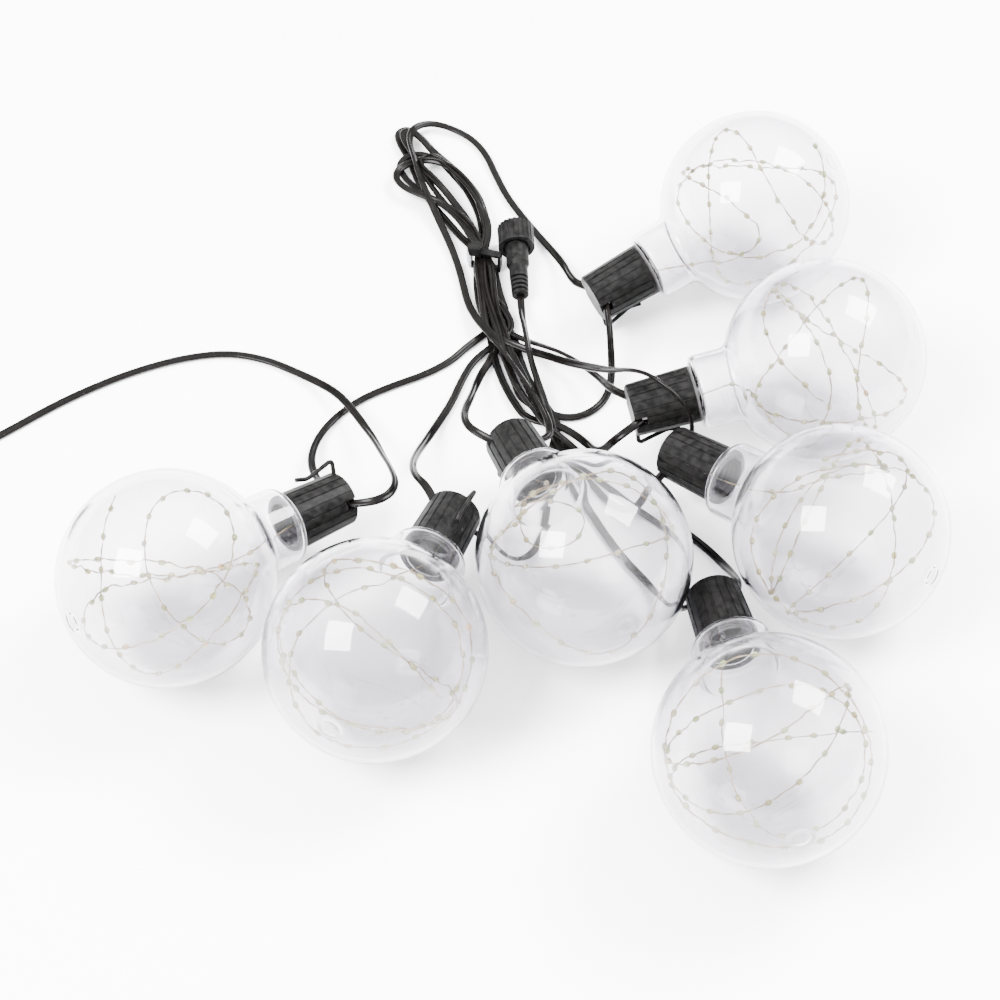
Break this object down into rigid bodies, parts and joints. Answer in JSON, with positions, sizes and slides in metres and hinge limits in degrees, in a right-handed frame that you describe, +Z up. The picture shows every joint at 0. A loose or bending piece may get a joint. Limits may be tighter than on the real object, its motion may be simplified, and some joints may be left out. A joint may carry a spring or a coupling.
{
  "type": "solar string lights",
  "caption": "String of clear globe lamps with fine light wires inside, screwed into ribbed black sockets with hanging hooks, on one flat twin cable with screw connectors.",
  "frame": {"origin": "on the floor, under the middle of the box round the seven globe lamps", "axes": "+Z up, the lamps' shortest extent; +Y from the nearest lamps to the farthest, the lamps' longest extent; +X to the right of someone facing along +Y"},
  "size_m": [0.4457, 0.4003, 0.08],
  "materials": {
    "clear_plastic": "clear moulded plastic, very glossy",
    "seal_rubber": "soft black rubber",
    "black_plastic": "satin black moulded plastic with fine grain",
    "board": "pale circuit board with a white potted driver",
    "light_wire": "fine varnished copper wire, champagne, with clear resin drops",
    "cable": "soft charcoal sleeve, satin",
    "tie_plastic": "black nylon",
    "contact_metal": "bright contact pins"
  },
  "bodies": {
    "string": {"socket_1": "black_plastic", "hanging_clip_1": "black_plastic", "circuit_board_1": "board", "light_wire_1": "light_wire", "socket_2": "black_plastic", "hanging_clip_2": "black_plastic", "circuit_board_2": "board", "light_wire_2": "light_wire", "socket_3": "black_plastic", "hanging_clip_3": "black_plastic", "circuit_board_3": "board", "light_wire_3": "light_wire", "socket_4": "black_plastic", "hanging_clip_4": "black_plastic", "circuit_board_4": "board", "light_wire_4": "light_wire", "socket_5": "black_plastic", "hanging_clip_5": "black_plastic", "circuit_board_5": "board", "light_wire_5": "light_wire", "socket_6": "black_plastic", "hanging_clip_6": "black_plastic", "circuit_board_6": "board", "light_wire_6": "light_wire", "socket_7": "black_plastic", "hanging_clip_7": "black_plastic", "circuit_board_7": "board", "light_wire_7": "light_wire", "lead": "cable", "cable_1_2": "cable", "cable_2_3": "cable", "cable_3_7": "cable", "cable_7_6": "cable", "cable_6_5": "cable", "cable_5_4": "cable", "connector_lead": "cable", "hank": "cable", "lead_coil": "cable", "cable_tie": "tie_plastic", "connector_body": "black_plastic", "connector_seal": "seal_rubber", "connector_contacts": "contact_metal", "plug_body": "black_plastic", "plug_contacts": "contact_metal"},
    "seal_1": {"seal_ring_1": "seal_rubber"},
    "globe_1": {"globe_1": "clear_plastic"},
    "seal_2": {"seal_ring_2": "seal_rubber"},
    "globe_2": {"globe_2": "clear_plastic"},
    "seal_3": {"seal_ring_3": "seal_rubber"},
    "globe_3": {"globe_3": "clear_plastic"},
    "seal_4": {"seal_ring_4": "seal_rubber"},
    "globe_4": {"globe_4": "clear_plastic"},
    "seal_5": {"seal_ring_5": "seal_rubber"},
    "globe_5": {"globe_5": "clear_plastic"},
    "seal_6": {"seal_ring_6": "seal_rubber"},
    "globe_6": {"globe_6": "clear_plastic"},
    "seal_7": {"seal_ring_7": "seal_rubber"},
    "globe_7": {"globe_7": "clear_plastic"},
    "nut": {"coupling_nut": "black_plastic"}
  },
  "joints": [
    {"name": "globe_1_advance", "type": "slide", "parent": "string", "child": "seal_1", "axis": [-0.7493, -0.6287, 0.2079], "range_m": [0, 0.003]},
    {"name": "globe_1_turn", "type": "hinge", "parent": "seal_1", "child": "globe_1", "pos_m": [-0.1245, -0.0615, 0.04], "axis": [-0.7493, -0.6287, 0.2079], "range_deg": [0, 540]},
    {"name": "globe_2_advance", "type": "slide", "parent": "string", "child": "seal_2", "axis": [-0.3357, -0.9224, 0.1908], "range_m": [0, 0.003]},
    {"name": "globe_2_turn", "type": "hinge", "parent": "seal_2", "child": "globe_2", "pos_m": [-0.048, -0.0925, 0.04], "axis": [-0.3357, -0.9224, 0.1908], "range_deg": [0, 540]},
    {"name": "globe_3_advance", "type": "slide", "parent": "string", "child": "seal_3", "axis": [0.3319, -0.9118, 0.2419], "range_m": [0, 0.003]},
    {"name": "globe_3_turn", "type": "hinge", "parent": "seal_3", "child": "globe_3", "pos_m": [0.0265, -0.0525, 0.04], "axis": [0.3319, -0.9118, 0.2419], "range_deg": [0, 540]},
    {"name": "globe_4_advance", "type": "slide", "parent": "string", "child": "seal_4", "axis": [0.1524, -0.9624, 0.225], "range_m": [0, 0.003]},
    {"name": "globe_4_turn", "type": "hinge", "parent": "seal_4", "child": "globe_4", "pos_m": [0.087, -0.133, 0.04], "axis": [0.1524, -0.9624, 0.225], "range_deg": [0, 540]},
    {"name": "globe_5_advance", "type": "slide", "parent": "string", "child": "seal_5", "axis": [0.7269, -0.6545, 0.2079], "range_m": [0, 0.003]},
    {"name": "globe_5_turn", "type": "hinge", "parent": "seal_5", "child": "globe_5", "pos_m": [0.1215, -0.0405, 0.04], "axis": [0.7269, -0.6545, 0.2079], "range_deg": [0, 540]},
    {"name": "globe_6_advance", "type": "slide", "parent": "string", "child": "seal_6", "axis": [0.9661, 0.2054, 0.1564], "range_m": [0, 0.003]},
    {"name": "globe_6_turn", "type": "hinge", "parent": "seal_6", "child": "globe_6", "pos_m": [0.1245, 0.0455, 0.04], "axis": [0.9661, 0.2054, 0.1564], "range_deg": [0, 540]},
    {"name": "globe_7_advance", "type": "slide", "parent": "string", "child": "seal_7", "axis": [0.864, 0.4214, 0.2756], "range_m": [0, 0.003]},
    {"name": "globe_7_turn", "type": "hinge", "parent": "seal_7", "child": "globe_7", "pos_m": [0.104, 0.133, 0.04], "axis": [0.864, 0.4214, 0.2756], "range_deg": [0, 540]},
    {"name": "coupling_nut_turn", "type": "hinge", "parent": "string", "child": "nut", "pos_m": [0.0028, 0.14827, 0.00924], "axis": [-0.0586, 0.989, 0.136], "continuous": true}
  ],
  "couplings": [
    {"joint": "globe_1_advance", "follows": "globe_1_turn", "m_per_rad": 0.00031831},
    {"joint": "globe_2_advance", "follows": "globe_2_turn", "m_per_rad": 0.00031831},
    {"joint": "globe_3_advance", "follows": "globe_3_turn", "m_per_rad": 0.00031831},
    {"joint": "globe_4_advance", "follows": "globe_4_turn", "m_per_rad": 0.00031831},
    {"joint": "globe_5_advance", "follows": "globe_5_turn", "m_per_rad": 0.00031831},
    {"joint": "globe_6_advance", "follows": "globe_6_turn", "m_per_rad": 0.00031831},
    {"joint": "globe_7_advance", "follows": "globe_7_turn", "m_per_rad": 0.00031831}
  ]
}
